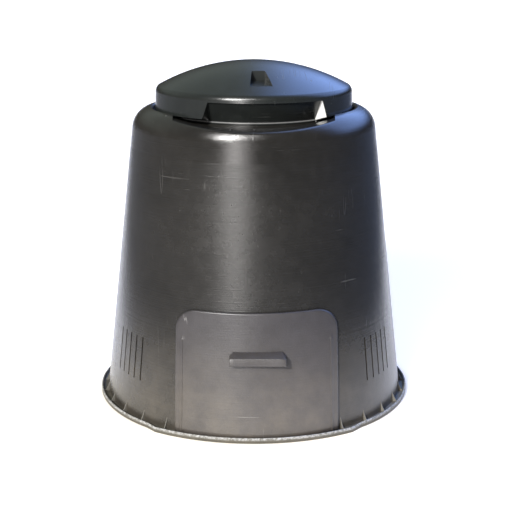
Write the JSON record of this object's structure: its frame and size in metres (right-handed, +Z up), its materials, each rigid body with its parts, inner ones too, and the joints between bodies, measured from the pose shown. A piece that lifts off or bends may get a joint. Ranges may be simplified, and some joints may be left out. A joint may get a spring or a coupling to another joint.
{
  "type": "compost bin",
  "caption": "Tapered black plastic garden compost bin with a lift-up front hatch, side air vents, a ribbed foot flange and a domed lift-off lid.",
  "frame": {"origin": "centre of the foot flange at ground level", "axes": "+Z up along the bin's axis, the hatch faces -Y, +X to the viewer's right"},
  "size_m": [0.7998, 0.7998, 0.845],
  "materials": {
    "body_black": "satin black recycled plastic, scuffed and dusty",
    "hatch_grey": "satin dark grey plastic, a little lighter than the body",
    "lid_black": "glossy black plastic"
  },
  "bodies": {
    "body": {"base_flange": "body_black", "flange_gussets": "body_black", "body_wall": "body_black", "body_shoulder": "body_black", "hatch_rails": "body_black"},
    "hatch": {"hatch_door": "hatch_grey", "hatch_handle": "hatch_grey"},
    "lid": {"lid_shell": "lid_black", "lid_collar": "lid_black"}
  },
  "joints": [
    {"name": "hatch_slide", "type": "slide", "parent": "body", "child": "hatch", "axis": [0, 0.1156, 0.9933], "range_m": [0, 0.22]},
    {"name": "lid_lift", "type": "slide", "parent": "body", "child": "lid", "axis": [0, 0, 1], "range_m": [0, 0.3]}
  ]
}
